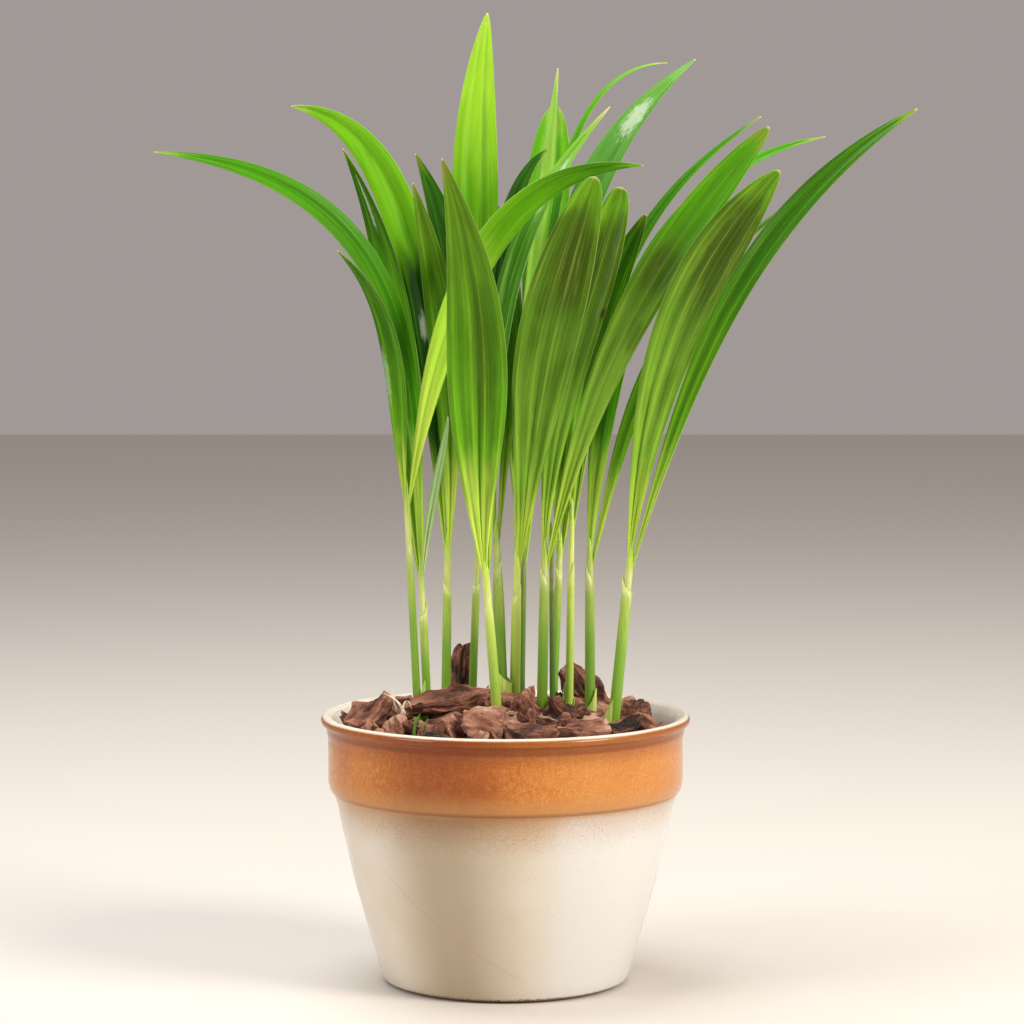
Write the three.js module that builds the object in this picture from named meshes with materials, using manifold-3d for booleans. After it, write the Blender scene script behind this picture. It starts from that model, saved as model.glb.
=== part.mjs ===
// Potted areca palm: fourteen young stems in a glazed pot topped with bark chips.
// Millimetres, +Z up. The origin is the centre of the pot's flat underside, with
// +X to the right and +Y to the back of the plant.
import * as THREE from "three";
import { mergeVertices } from "three/addons/utils/BufferGeometryUtils.js";
import Module from "manifold-3d";

const gap = 0.3;
const upwards = new THREE.Vector3(0, 0, 1);

const pot = {
  height: 94.9,
  footRadius: 40.8,
  heelFlare: 2.3,
  heelHeight: 1.4,
  ankleFlare: 3.6,
  ankleHeight: 5,
  bellyRadius: 53.2,
  stepRadius: 59.4,
  bandRadius: 62.4,
  lipRadius: 65,
  lipUnderside: 5,
  lipFillet: 0.6,
  lipWidest: 2,
  lipRound: 0.7,
  lipDrop: 0.3,
  lipFlat: 2,
  mouthRadius: 61.4,
  mouthRound: 0.9,
  throat: 2,
  throatDepth: 7,
  innerRadius: 58.8,
  innerFootRadius: 38.5,
  floor: 8,
  bellyHeight: 35.5,
  stepHeight: 65,
  bandBottom: 70.5,
  bandTop: 86.7,
  segments: 40,
};

const soil = {
  top: 81,
  wallGap: 0.6,
  segments: 32,
};

const bed = {
  edgeTop: 85.5,
  shoulderTop: 90.225,
  shoulderShare: 0.8,
  domeTop: 94.425,
  domeShare: 0.45,
  crown: 96,
  wallGap: 1,
  segments: 32,
};

const stemShape = {
  sides: 8,
  lowRing: 0.35,
  highRing: 0.7,
  footFlare: 1.15,
  topShare: 0.88,
  mouthStep: 3,
};

const leafShape = {
  rings: 12,
  ringSpread: 1.35,
  baseWidth: 1.6,
  baseOffset: 1.5,
  baseLift: 0.45,
  splay: 0.1,
  riseShare: 0.4,
  thicknessShare: 0.0105,
  leastThickness: 1.1,
  pleatWidth: 5.2,
  fewestPleats: 2,
  pleatDepth: 0.2,
  cup: 0.12,
  riseEase: 1.3,
  tipEase: 0.85,
  tipWidth: 0.9,
  cupLevel: 0.4,
};

// The levels are a chip's rings, each with its height and its spread as shares of the
// chip's thickness and outline.
const chipShape = {
  points: 8,
  levels: [[-0.5, 0.62], [-0.12, 1], [0.28, 0.9], [0.5, 0.5]],
  lobes: 3,
  lobeDepth: 0.16,
  notches: 5,
  notchDepth: 0.1,
  lobeTurn: 2.1,
  ridge: 0.09,
  room: 0.9,
  wallGap: 3,
  segments: 40,
};

// Each stem: its foot and top, its width at the sheath and above it, the height of
// the sheath's mouth, and its leaf's lobes. A lobe starts beside the stem's top,
// passes through its bend halfway along and ends at its tip. Its face is the
// direction that its upper side looks at the base, in degrees from the front
// towards +X, and it turns by its twist on the way to the tip. A taper under the usual
// makes a blunt tip.
const stems = [
  {
    foot: [-30, -8, 81.5], top: [-34.6, -10, 176], sheath: 2.6, petiole: 2.1, mouth: 155,
    lobes: [
      { side: "left", bend: [-38.5, -20, 219], tip: [-57, -35, 258], width: 9, widest: 0.5, face: -38 },
      {
        side: "right", bend: [-11.5, -12, 250], tip: [48, -4, 287],
        width: 12, widest: 0.5, face: 30, twist: -10,
      },
    ],
  },
  {
    foot: [-27, 3, 81.5], top: [-29.8, 4, 147], sheath: 2.5, petiole: 1.9, mouth: 130,
    lobes: [
      {
        side: "left", bend: [-37, 8, 222], tip: [-57, 9, 293],
        width: 12, widest: 0.45, face: 10, twist: -35,
      },
      {
        side: "right", bend: [-41, -5, 239.5], tip: [-120, -25, 291.5],
        width: 11.5, widest: 0.55, face: 62, twist: -20,
      },
      { side: "front", bend: [-24.3, -5, 176], tip: [-20, -8, 200], width: 3.2, widest: 0.4, face: 20 },
    ],
  },
  {
    foot: [-21.5, 18, 81.5], top: [-20.6, 22, 155], sheath: 3.2, petiole: 2.4, mouth: 138,
    lobes: [
      {
        side: "left", bend: [-32, 20, 250.8], tip: [-75.5, 16, 308],
        width: 13, widest: 0.6, face: 12, twist: -20,
      },
      { side: "right", bend: [-21, 8, 220], tip: [-32, -10, 281], width: 11, widest: 0.55, face: 5 },
    ],
  },
  {
    foot: [-12.5, 26, 81.5], top: [-9.8, 30, 157], sheath: 2.8, petiole: 1.9, mouth: 138,
    lobes: [
      { side: "left", bend: [-15, 47, 226], tip: [-33, 66, 292], width: 13, widest: 0.6, face: 8 },
      {
        side: "right", bend: [-10.2, 34, 248], tip: [-6.5, 46, 342],
        width: 16.5, widest: 0.66, face: 0, taper: 0.7,
      },
    ],
  },
  {
    foot: [-1.6, -17, 81.5], top: [-7, -22, 149], sheath: 3.4, petiole: 2.6, mouth: 135,
    lobes: [
      {
        side: "left", bend: [-9.5, -36, 217], tip: [-21, -60, 289],
        width: 20.5, widest: 0.5, face: 0, twist: -4,
      },
      { side: "right", bend: [-1.5, 3, 232], tip: [37, 24, 308], width: 10, widest: 0.6, face: -35 },
    ],
  },
  {
    foot: [-0.8, 9.5, 81.5], top: [-3.3, 14, 158], sheath: 4.2, petiole: 2.4, mouth: 146,
    lobes: [
      { side: "left", bend: [-3.5, 22, 238], tip: [15, 28, 293], width: 10, widest: 0.6, face: -42 },
      { side: "right", bend: [2.5, 31, 228], tip: [-11, 92, 288], width: 9, widest: 0.6, face: 40 },
    ],
  },
  {
    foot: [3, 14, 81.5], top: [4.2, 10, 150], sheath: 3.1, petiole: 2.5, mouth: 135,
    lobes: [
      { side: "left", bend: [8, 25, 234], tip: [18.7, 36, 322], width: 9, widest: 0.7, face: 55 },
      {
        side: "right", bend: [11.5, -8, 210], tip: [30.5, -36, 283],
        width: 21, widest: 0.7, face: -8, taper: 0.45,
      },
    ],
  },
  {
    foot: [5.5, 32, 81.5], top: [6.6, 38, 149], sheath: 2.2, petiole: 1.8, mouth: 145,
    lobes: [
      { side: "left", bend: [0, 62, 228], tip: [-28, 102, 274], width: 15, widest: 0.55, face: 48 },
      {
        side: "right", bend: [12.5, 46, 230], tip: [18, 62, 309],
        width: 16, widest: 0.8, face: 0, taper: 0.45,
      },
    ],
  },
  {
    foot: [12.6, 2, 81.5], top: [13.9, 2, 152], sheath: 3.1, petiole: 2.4, mouth: 143,
    lobes: [
      {
        side: "left", bend: [21.5, 14.3, 211], tip: [41, 19, 279.5],
        width: 14.5, widest: 0.78, face: -5, taper: 0.35,
      },
      {
        side: "right", bend: [41.5, -16, 230], tip: [90, -26, 300],
        width: 14, widest: 0.68, face: -10, twist: -10, taper: 0.55,
      },
    ],
  },
  {
    foot: [16.8, 15, 81.5], top: [16.4, 19, 156], sheath: 1.9, petiole: 1.6, mouth: 140,
    lobes: [
      { side: "left", bend: [17, 36.5, 263], tip: [58, 42, 324], width: 7.5, widest: 0.5, face: -68 },
      { side: "right", bend: [26, 39.5, 217], tip: [49, 80, 253], width: 11, widest: 0.55, face: -45 },
    ],
  },
  {
    foot: [16.8, 36, 81.5], top: [19.8, 44, 150], sheath: 2.7, petiole: 2.2, mouth: 142,
    lobes: [
      { side: "left", bend: [21.5, 53, 246], tip: [69, 60, 326], width: 12, widest: 0.65, face: -12 },
      { side: "right", bend: [29, 68, 226], tip: [47, 112, 275], width: 15, widest: 0.55, face: -42 },
    ],
  },
  {
    foot: [22.4, 7, 81.5], top: [23.5, 12, 165], sheath: 2.7, petiole: 2.0, mouth: 143,
    lobes: [
      {
        side: "left", bend: [30.5, 24, 219], tip: [50, 27, 270],
        width: 11, widest: 0.6, face: -8, taper: 0.6,
      },
      { side: "right", bend: [39.8, 42, 240.8], tip: [92, 46, 305], width: 9, widest: 0.5, face: -52 },
    ],
  },
  {
    foot: [29.8, -3, 81.5], top: [29.6, 0, 152], sheath: 3, petiole: 2.4, mouth: 143,
    lobes: [
      {
        side: "left", bend: [46.5, 9, 243], tip: [114, 32, 297.5],
        width: 11, widest: 0.35, face: -38, twist: 5,
      },
      { side: "right", bend: [53.5, 0, 222], tip: [107, 30, 277], width: 8, widest: 0.4, face: -50 },
    ],
  },
  {
    foot: [36.6, -14, 81.5], top: [43.5, -17, 153], sheath: 3.4, petiole: 2.6, mouth: 141,
    lobes: [
      {
        side: "left", bend: [56.3, -26, 223], tip: [92, -48, 285],
        width: 18, widest: 0.7, face: -8, twist: -6, taper: 0.6,
      },
      {
        side: "right", bend: [75.4, -45, 239.5], tip: [137.5, -52, 305.5],
        width: 10.5, widest: 0.6, face: -40, twist: -10, taper: 0.7,
      },
    ],
  },
];

// Each chip: its middle, its length, width and thickness, and its turns in degrees
// about X, Y and Z.
const chips = [
  { at: [-16, 32.5, 104], size: [24, 8.5, 4.5], turn: [98, -86, 10] },
  { at: [-20.5, -12.5, 99.6], size: [29, 12, 5.5], turn: [24, -9, 12] },
  { at: [-7.4, -44, 96.8], size: [15, 12.8, 5], turn: [68, 8, 4] },
  { at: [29.5, 24, 98.5], size: [25, 12, 7], turn: [66, 56, 10] },
  { at: [6.5, -17, 98], size: [17, 8, 6], turn: [10, 60, 80] },
  { at: [40.5, -27, 92.6], size: [12, 7, 5], turn: [8, 4, 20] },
  { at: [47, 2, 93.5], size: [10, 9, 8], turn: [0, 10, 30] },
  { at: [-47, -10, 96], size: [18, 11, 7], turn: [14, -42, 30] },
  { at: [-38, -36, 93], size: [12, 7.5, 4.5], turn: [62, 60, 30] },
  { at: [-25.5, -45.6, 91.4], size: [16, 9, 4.5], turn: [28, 5, -12] },
  { at: [8.5, -48, 93.5], size: [17, 11, 6.5], turn: [34, 6, 10] },
  { at: [26, -41, 93.5], size: [18, 11, 5.5], turn: [16, -4, 8] },
  { at: [-6, 52, 92], size: [20, 12, 6], turn: [-18, 6, 15] },
  { at: [33, 44, 92], size: [18, 12, 6.5], turn: [-14, 12, -35] },
];

const leafColour = 0x4f8f1e;
const narrowLeafColour = 0x8cc63a;
const narrowLeafWidth = 15;
const stemColour = 0x6fae2f;
const chipColour = 0x6b4434;
const soilColour = 0x33261d;
const glazeColour = 0xb9672f;

const weld = 1e-3;

const wasm = await Module();
wasm.setup();

function material(color, roughness) {
  return new THREE.MeshStandardMaterial({ color, roughness, metalness: 0 });
}

function vector(numbers) {
  return new THREE.Vector3(...numbers);
}

// A closed skin over rings of equal point counts, each ring anticlockwise seen from
// the end it runs to. Both ends are closed across, point by opposite point.
function loft(rings) {
  const count = rings[0].length;
  const last = (rings.length - 1) * count;
  const faces = [];
  for (let r = 0; r < rings.length - 1; r += 1) {
    for (let i = 0; i < count; i += 1) {
      const a = r * count + i;
      const b = r * count + ((i + 1) % count);
      faces.push(a, b, b + count, a, b + count, a + count);
    }
  }
  for (let i = 0; i < count / 2 - 1; i += 1) {
    const j = count - 1 - i;
    faces.push(i, j, j - 1, i, j - 1, i + 1);
    faces.push(last + i, last + i + 1, last + j - 1, last + i, last + j - 1, last + j);
  }
  const positions = rings.flat().flatMap((point) => point.toArray());
  const geometry = new THREE.BufferGeometry();
  geometry.setAttribute("position", new THREE.Float32BufferAttribute(positions, 3));
  geometry.setIndex(faces);
  return geometry;
}

function solidOf(geometry) {
  const bare = geometry.clone();
  bare.deleteAttribute("normal");
  bare.deleteAttribute("uv");
  const merged = mergeVertices(bare, weld);
  return new wasm.Manifold(
    new wasm.Mesh({
      numProp: 3,
      vertProperties: new Float32Array(merged.attributes.position.array),
      triVerts: new Uint32Array(merged.index.array),
    }),
  );
}

function geometryOf(solid) {
  const mesh = solid.getMesh();
  const geometry = new THREE.BufferGeometry();
  geometry.setAttribute("position", new THREE.BufferAttribute(mesh.vertProperties, 3));
  geometry.setIndex(new THREE.BufferAttribute(mesh.triVerts, 1));
  return geometry;
}

// A lathe stands along Y, so it is turned to stand along Z.
function turned(profile, segments) {
  const points = profile.map(([radius, height]) => new THREE.Vector2(radius, height));
  return new THREE.LatheGeometry(points, segments).rotateX(Math.PI / 2);
}

function potGeometry() {
  const p = pot;
  const outside = [
    [0, 0],
    [p.footRadius, 0],
    [p.footRadius + p.heelFlare, p.heelHeight],
    [p.footRadius + p.ankleFlare, p.ankleHeight],
    [p.bellyRadius, p.bellyHeight],
    [p.stepRadius, p.stepHeight],
    [p.bandRadius, p.bandBottom],
    [p.bandRadius, p.bandTop],
    [p.bandRadius + p.lipFillet, p.height - p.lipUnderside],
    [p.lipRadius, p.height - p.lipWidest],
    [p.lipRadius - p.lipRound, p.height - p.lipDrop],
  ];
  const inside = [
    [p.lipRadius - p.lipFlat, p.height],
    [p.mouthRadius, p.height - p.mouthRound],
    [p.mouthRadius - p.throat, p.height - p.throatDepth],
    [p.innerRadius, p.stepHeight],
    [p.innerFootRadius, p.floor],
    [0, p.floor],
  ];
  return turned([...outside, ...inside], p.segments);
}

function wallRadiusAt(height) {
  const share = (height - pot.floor) / (pot.stepHeight - pot.floor);
  return THREE.MathUtils.lerp(pot.innerFootRadius, pot.innerRadius, Math.min(share, 1));
}

function soilGeometry() {
  const low = pot.floor + gap;
  const profile = [
    [0, low],
    [wallRadiusAt(low) - soil.wallGap, low],
    [wallRadiusAt(pot.stepHeight) - soil.wallGap, pot.stepHeight],
    [wallRadiusAt(soil.top) - soil.wallGap, soil.top],
    [0, soil.top],
  ];
  return turned(profile, soil.segments);
}

function bedGeometry() {
  const low = soil.top + gap;
  const radius = pot.innerRadius - bed.wallGap;
  const profile = [
    [0, low],
    [radius, low],
    [radius, bed.edgeTop],
    [radius * bed.shoulderShare, bed.shoulderTop],
    [radius * bed.domeShare, bed.domeTop],
    [0, bed.crown],
  ];
  return turned(profile, bed.segments);
}

// A stem from its foot to its top, with a step in its width at the sheath's mouth.
// A clearance makes it wider and longer, for cutting room for it.
function stemGeometry(stem, clearance = 0) {
  const s = stemShape;
  const foot = vector(stem.foot);
  const top = vector(stem.top);
  const along = top.clone().sub(foot);
  const mouthShare = (stem.mouth - stem.foot[2]) / along.z;
  const stepShare = s.mouthStep / along.z;
  const shares = [
    0,
    mouthShare * s.lowRing,
    mouthShare * s.highRing,
    mouthShare,
    mouthShare + stepShare,
    1,
  ];
  const widths = [
    stem.sheath * s.footFlare,
    stem.sheath,
    stem.sheath,
    stem.sheath,
    stem.petiole,
    stem.petiole * s.topShare,
  ];
  const rings = shares.map((share, index) => {
    const lift = share === 0 ? -clearance * 2 : 0;
    const centre = foot.clone().addScaledVector(along, share).addScaledVector(upwards, lift);
    const radius = widths[index] / 2 + clearance;
    const ring = [];
    for (let i = 0; i < s.sides; i += 1) {
      const angle = ((i + 0.5) / s.sides) * 2 * Math.PI;
      ring.push(new THREE.Vector3(
        centre.x + radius * Math.cos(angle),
        centre.y + radius * Math.sin(angle),
        centre.z,
      ));
    }
    return ring;
  });
  return loft(rings);
}

// A lobe's centre line: it leaves the stem's top between the stem's own direction and
// the way to the bend, passes through the bend halfway and ends at the tip.
function lobeCurve(stem, lobe) {
  const away = { left: [-1, 0, 0], right: [1, 0, 0], front: [0, -1, 0] }[lobe.side];
  const grow = vector(stem.top).sub(vector(stem.foot)).normalize();
  const base = vector(stem.top)
    .addScaledVector(vector(away), leafShape.baseOffset)
    .addScaledVector(grow, leafShape.baseLift);
  const bend = vector(lobe.bend);
  const tip = vector(lobe.tip);
  const start = grow.add(bend.clone().sub(base).normalize())
    .addScaledVector(vector(away), leafShape.splay)
    .normalize();
  const rise = base.clone().addScaledVector(start, base.distanceTo(tip) * leafShape.riseShare);
  const over = bend.clone().multiplyScalar(8).sub(base).addScaledVector(rise, -3).sub(tip)
    .divideScalar(3);
  return new THREE.CubicBezierCurve3(base, rise, over, tip);
}

// The width along a lobe: narrow at the petiole, fullest at its widest share and
// closing to a point.
function lobeWidth(lobe, share) {
  const s = leafShape;
  if (share < lobe.widest) {
    const full = Math.sin((share / lobe.widest) * (Math.PI / 2)) ** s.riseEase;
    return THREE.MathUtils.lerp(s.baseWidth, lobe.width, full);
  }
  const left = (1 - share) / (1 - lobe.widest);
  const full = Math.sin(left * (Math.PI / 2)) ** (lobe.taper ?? s.tipEase);
  return THREE.MathUtils.lerp(s.tipWidth, lobe.width, full);
}

// A pleated blade: a row of ridges and furrows across each step of the centre line,
// with the upper and lower skins set apart by the blade's thickness.
function lobeGeometry(stem, lobe) {
  const s = leafShape;
  const curve = lobeCurve(stem, lobe);
  const pleats = Math.max(s.fewestPleats, Math.round(lobe.width / s.pleatWidth));
  const across = 2 * pleats + 1;
  const thickness = Math.max(s.leastThickness, curve.getLength() * s.thicknessShare);
  const face = THREE.MathUtils.degToRad(lobe.face);
  const normal = new THREE.Vector3(Math.sin(face), -Math.cos(face), 0);
  const rings = [];
  for (let r = 0; r <= s.rings; r += 1) {
    const share = 1 - (1 - r / s.rings) ** s.ringSpread;
    const centre = curve.getPoint(share);
    const tangent = curve.getTangent(share);
    normal.addScaledVector(tangent, -normal.dot(tangent)).normalize();
    const twist = THREE.MathUtils.degToRad((lobe.twist ?? 0) * share);
    const up = normal.clone().applyAxisAngle(tangent, twist);
    const sideways = up.clone().cross(tangent);
    const width = lobeWidth(lobe, share);
    const depth = (s.pleatDepth * width) / (across - 1);
    const skins = [1, -1].map((skin) => {
      const row = [];
      for (let i = 0; i < across; i += 1) {
        const u = 1 - (2 * i) / (across - 1);
        const pleat = i % 2 === 0 ? -depth : depth;
        const cupped = s.cup * width * (u * u - s.cupLevel);
        const height = pleat + cupped + (skin * thickness) / 2;
        const point = centre.clone().addScaledVector(sideways, (u * width) / 2);
        row.push(point.addScaledVector(up, height));
      }
      return row;
    });
    rings.push([...skins[0], ...skins[1].reverse()]);
  }
  return loft(rings);
}

// A bark chip: a lens of irregular outline, broad in the middle and smaller on its
// faces. The wave of the outline depends on the chip's number.
function chipGeometry(chip, number, clearance = 0) {
  const s = chipShape;
  const [length, width, thick] = chip.size;
  const rings = s.levels.map(([level, spread], layer) => {
    const ring = [];
    for (let i = 0; i < s.points; i += 1) {
      const angle = ((i + 0.5) / s.points) * 2 * Math.PI;
      const lobes = s.lobeDepth * Math.sin(s.lobes * angle + s.lobeTurn * number);
      const notches = s.notchDepth * Math.sin(s.notches * angle + number + layer);
      const wave = 1 + lobes + notches;
      const ridge = s.ridge * thick * Math.sin(2 * angle + number);
      ring.push(new THREE.Vector3(
        Math.cos(angle) * wave * spread * (length / 2 + clearance),
        Math.sin(angle) * wave * spread * (width / 2 + clearance),
        level * (thick + 2 * clearance) + ridge,
      ));
    }
    return ring;
  });
  const [x, y, z] = chip.turn.map(THREE.MathUtils.degToRad);
  const geometry = loft(rings);
  geometry.applyMatrix4(new THREE.Matrix4().makeRotationFromEuler(new THREE.Euler(x, y, z)));
  geometry.translate(...chip.at);
  return geometry;
}

function largestBody(solid) {
  const bodies = solid.decompose();
  return bodies.reduce((best, body) => (body.volume() > best.volume() ? body : best));
}

function named(name, geometry, look) {
  const mesh = new THREE.Mesh(geometry, look);
  mesh.name = name;
  return mesh;
}

function numbered(word, index) {
  return `${word}_${String(index + 1).padStart(2, "0")}`;
}

const plant = new THREE.Group();
plant.add(named("pot", potGeometry(), material(glazeColour, 0.2)));
plant.add(named("soil", soilGeometry(), material(soilColour, 0.95)));

stems.forEach((stem, index) => {
  const name = numbered("stem", index);
  plant.add(named(name, stemGeometry(stem), material(stemColour, 0.4)));
  stem.lobes.forEach((lobe) => {
    const colour = lobe.width > narrowLeafWidth ? leafColour : narrowLeafColour;
    const leafName = `${numbered("leaf", index)}_${lobe.side}`;
    plant.add(named(leafName, lobeGeometry(stem, lobe), material(colour, 0.35)));
  });
});

// The chips leave room for the stems and for each other, and the bed for them all.
const mouth = pot.mouthRadius - chipShape.wallGap;
const mouthProfile = [[0, 0], [mouth, 0], [mouth, 2 * pot.height], [0, 2 * pot.height]];
const withinMouth = solidOf(turned(mouthProfile, chipShape.segments));
let taken = wasm.Manifold.union(stems.map((stem) => solidOf(stemGeometry(stem, gap))));
chips.forEach((chip, index) => {
  const whole = solidOf(chipGeometry(chip, index)).intersect(withinMouth);
  const cut = largestBody(whole.subtract(taken));
  plant.add(named(numbered("bark_chip", index), geometryOf(cut), material(chipColour, 0.85)));
  taken = taken.add(solidOf(chipGeometry(chip, index, chipShape.room)));
});
const bedSolid = largestBody(solidOf(bedGeometry()).subtract(taken));
plant.add(named("bark_bed", geometryOf(bedSolid), material(chipColour, 0.9)));

export default plant;
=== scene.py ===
import math
import random

import bmesh
import bpy
from mathutils import Euler, Matrix, Vector, noise


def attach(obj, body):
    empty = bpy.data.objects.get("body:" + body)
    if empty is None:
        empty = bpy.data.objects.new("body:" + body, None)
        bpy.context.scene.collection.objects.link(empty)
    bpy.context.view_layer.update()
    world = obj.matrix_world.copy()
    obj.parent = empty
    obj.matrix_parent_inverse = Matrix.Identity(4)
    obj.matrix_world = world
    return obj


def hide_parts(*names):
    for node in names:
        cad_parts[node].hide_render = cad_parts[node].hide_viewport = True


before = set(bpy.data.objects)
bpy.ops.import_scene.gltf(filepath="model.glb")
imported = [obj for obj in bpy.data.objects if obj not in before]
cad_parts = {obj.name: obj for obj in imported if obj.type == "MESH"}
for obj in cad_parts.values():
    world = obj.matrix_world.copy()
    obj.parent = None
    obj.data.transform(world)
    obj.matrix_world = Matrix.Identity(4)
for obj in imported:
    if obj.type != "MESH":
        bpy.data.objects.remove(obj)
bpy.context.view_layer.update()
mm = 0.001
rootBody = "root"


def point(values):
    return Vector(values) * mm


def tint(text):
    # a hex colour as the shader's linear red, green and blue
    parts = [int(text[i:i + 2], 16) / 255 for i in (0, 2, 4)]
    linear = [c / 12.92 if c <= 0.04045 else ((c + 0.055) / 1.055) ** 2.4 for c in parts]
    return (*linear, 1.0)


def clamp(value, low=0.0, high=1.0):
    return max(low, min(high, value))


def blendValue(a, b, share):
    return a + (b - a) * share


def evenShares(count):
    return [i / (count - 1) for i in range(count)]


def addObject(name, data):
    made = bpy.data.objects.new(name, data)
    bpy.context.scene.collection.objects.link(made)
    return made


def meshFrom(name, bm, material):
    mesh = bpy.data.meshes.new(name)
    bm.to_mesh(mesh)
    bm.free()
    mesh.materials.append(material)
    return mesh


def finishPiece(name, bm, material, nodes, smooth=True):
    mesh = meshFrom(name, bm, material)
    for face in mesh.polygons:
        face.use_smooth = smooth
    piece = addObject(name, mesh)
    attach(piece, rootBody)
    if nodes:
        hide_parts(*nodes)
    return piece


def spinProfile(bm, corners, steps, rounding=0.0):
    # corners of radius and height, from axis to axis, turned once round the pot's axis
    verts = [bm.verts.new(point((radius, 0.0, height))) for radius, height in corners]
    for first, second in zip(verts, verts[1:]):
        bm.edges.new((first, second))
    if rounding:
        bmesh.ops.bevel(
            bm, geom=verts[1:-1], affect="VERTICES", offset=rounding * mm, offset_type="OFFSET",
            segments=3, profile=0.5, material=-1)
    bmesh.ops.spin(
        bm, geom=bm.verts[:] + bm.edges[:], axis=(0, 0, 1), cent=(0, 0, 0), dvec=(0, 0, 0),
        angle=2 * math.pi, steps=steps, use_merge=True)
    bmesh.ops.remove_doubles(bm, verts=bm.verts[:], dist=1e-6)
    bmesh.ops.recalc_face_normals(bm, faces=bm.faces[:])


# Materials: a Finish holds one material and adds the nodes of its pattern

class Finish:
    def __init__(self, name):
        self.material = bpy.data.materials.new(name)
        self.material.use_nodes = True
        self.tree = self.material.node_tree

    def node(self, kind, **settings):
        made = self.tree.nodes.new("ShaderNode" + kind)
        for key, value in settings.items():
            setattr(made, key, value)
        return made

    def feed(self, socket, value):
        if isinstance(value, bpy.types.NodeSocket):
            self.tree.links.new(value, socket)
        else:
            socket.default_value = value

    def maths(self, operation, first, second=0.0, clamped=False):
        made = self.node("Math", operation=operation, use_clamp=clamped)
        self.feed(made.inputs[0], first)
        self.feed(made.inputs[1], second)
        return made.outputs[0]

    def times(self, first, second):
        return self.maths("MULTIPLY", first, second)

    def plus(self, first, second):
        return self.maths("ADD", first, second)

    def minus(self, first, second):
        return self.maths("SUBTRACT", first, second)

    def apart(self, first, second):
        return self.maths("ABSOLUTE", self.minus(first, second))

    def centred(self, value, size):
        return self.times(self.minus(value, 0.5), size)

    def reach(self, first, second):
        return self.maths("SQRT", self.plus(self.times(first, first), self.times(second, second)))

    def remap(self, value, fromLow, fromHigh, toLow=0.0, toHigh=1.0):
        made = self.node("MapRange", interpolation_type="SMOOTHSTEP")
        for socket, setting in zip(made.inputs, (value, fromLow, fromHigh, toLow, toHigh)):
            self.feed(socket, setting)
        return made.outputs[0]

    def mix(self, share, first, second):
        # the colours are hex texts or sockets
        made = self.node("Mix", data_type="RGBA")
        self.feed(made.inputs[0], share)
        for socket, colour in ((made.inputs[6], first), (made.inputs[7], second)):
            self.feed(socket, tint(colour) if isinstance(colour, str) else colour)
        return made.outputs[2]

    def ramp(self, value, stops):
        made = self.node("ValToRGB")
        made.color_ramp.interpolation = "EASE"
        elements = made.color_ramp.elements
        elements[0].position, elements[0].color = stops[0][0], tint(stops[0][1])
        elements[1].position, elements[1].color = stops[-1][0], tint(stops[-1][1])
        for position, colour in stops[1:-1]:
            elements.new(position).color = tint(colour)
        self.feed(made.inputs[0], value)
        return made.outputs[0]

    def noise(self, vector, scale, detail=3.0, roughness=0.55):
        made = self.node("TexNoise")
        self.feed(made.inputs["Vector"], vector)
        made.inputs["Scale"].default_value = scale
        made.inputs["Detail"].default_value = detail
        made.inputs["Roughness"].default_value = roughness
        return made.outputs["Fac"]

    def stretch(self, vector, scale):
        made = self.node("Mapping")
        self.feed(made.inputs["Vector"], vector)
        made.inputs["Scale"].default_value = scale
        return made.outputs[0]

    def bump(self, height, strength, distance):
        made = self.node("Bump")
        made.inputs["Strength"].default_value = strength
        made.inputs["Distance"].default_value = distance
        self.feed(made.inputs["Height"], height)
        return made.outputs[0]

    def attribute(self, name, output="Fac"):
        return self.node("Attribute", attribute_name=name).outputs[output]

    def coords(self, kind="Object"):
        return self.node("TexCoord").outputs[kind]

    def split(self, vector):
        made = self.node("SeparateXYZ")
        self.feed(made.inputs[0], vector)
        return made.outputs

    def layered(self, colour, layers):
        # each layer is a share and the colour that it puts over the ones before
        for share, paint in layers:
            colour = self.mix(share, colour, paint)
        return colour

    def surface(self, values):
        shader = self.tree.nodes["Principled BSDF"]
        for name, value in values.items():
            self.feed(shader.inputs[name], value)
        return self.material


# Glazed pot

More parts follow.
